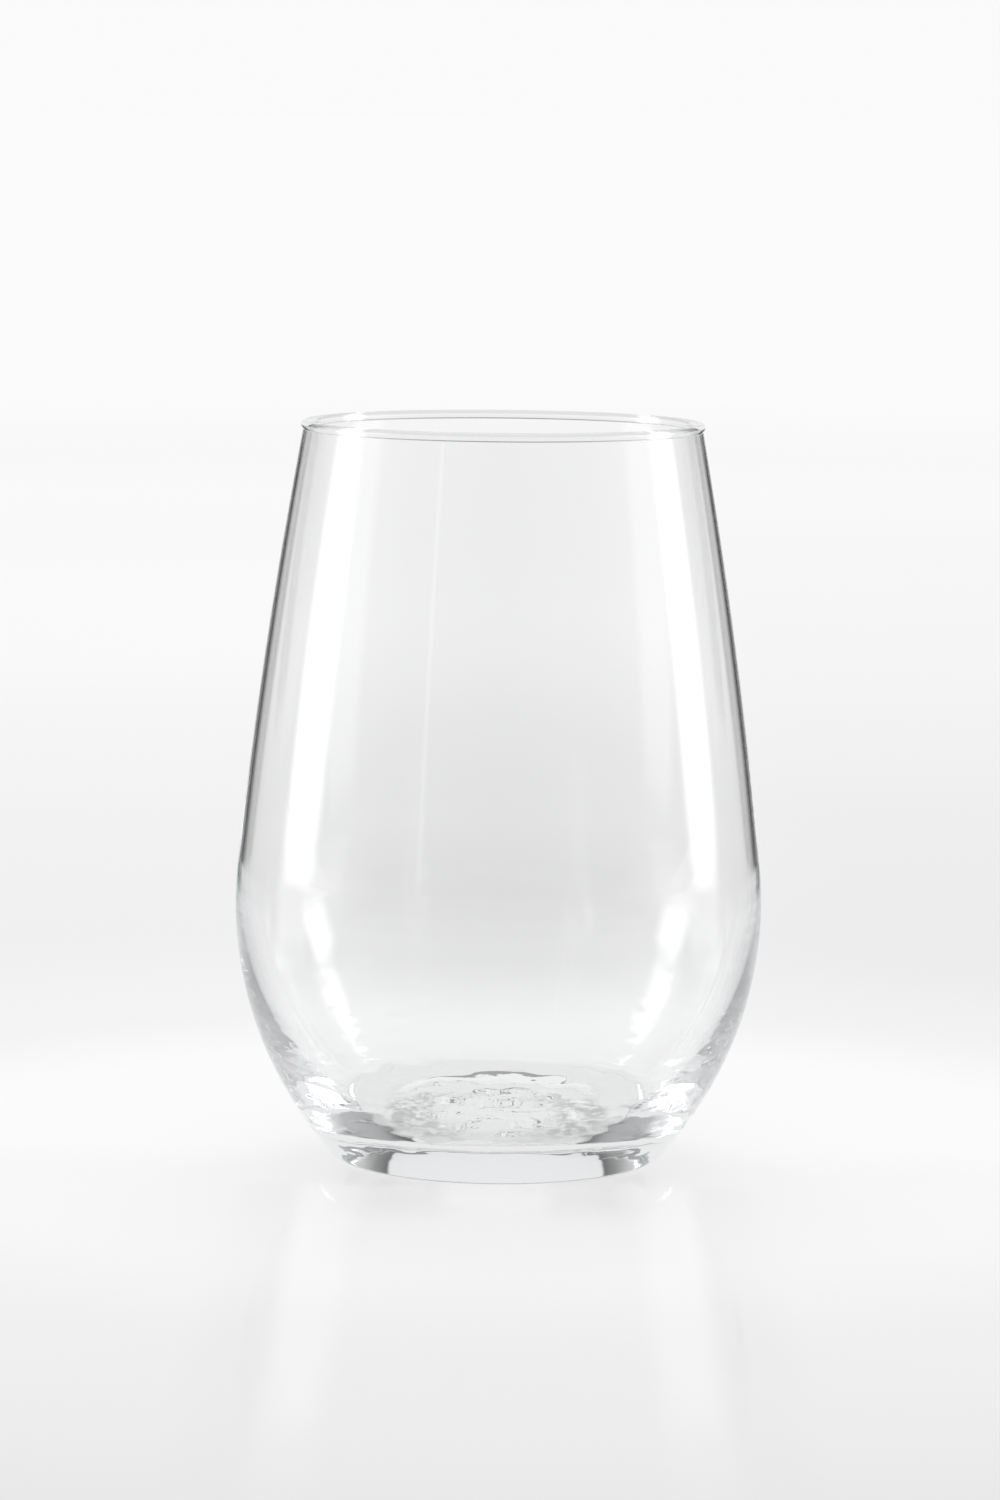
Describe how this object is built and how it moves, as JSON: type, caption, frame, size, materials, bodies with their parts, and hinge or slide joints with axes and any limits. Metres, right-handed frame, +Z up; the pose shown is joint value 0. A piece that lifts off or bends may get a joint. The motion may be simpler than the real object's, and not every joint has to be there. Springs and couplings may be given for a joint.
{
  "type": "stemless wine glass",
  "caption": "Clear stemless wine glass: a thin tapered bowl with a round rim bead, widest low down, thickening into a heavy rounded base that stands flat.",
  "frame": {"origin": "centre of the foot, on the surface that the glass stands on", "axes": "+Z up along the glass's own axis, from the foot to the rim; the glass is the same all round, and the picture's side is -Y"},
  "size_m": [0.086, 0.086, 0.1205],
  "materials": {
    "clear_glass": "polished"
  },
  "bodies": {
    "root": {"rim_bead": "clear_glass", "side_wall": "clear_glass", "lower_bowl": "clear_glass", "base": "clear_glass"}
  },
  "joints": []
}
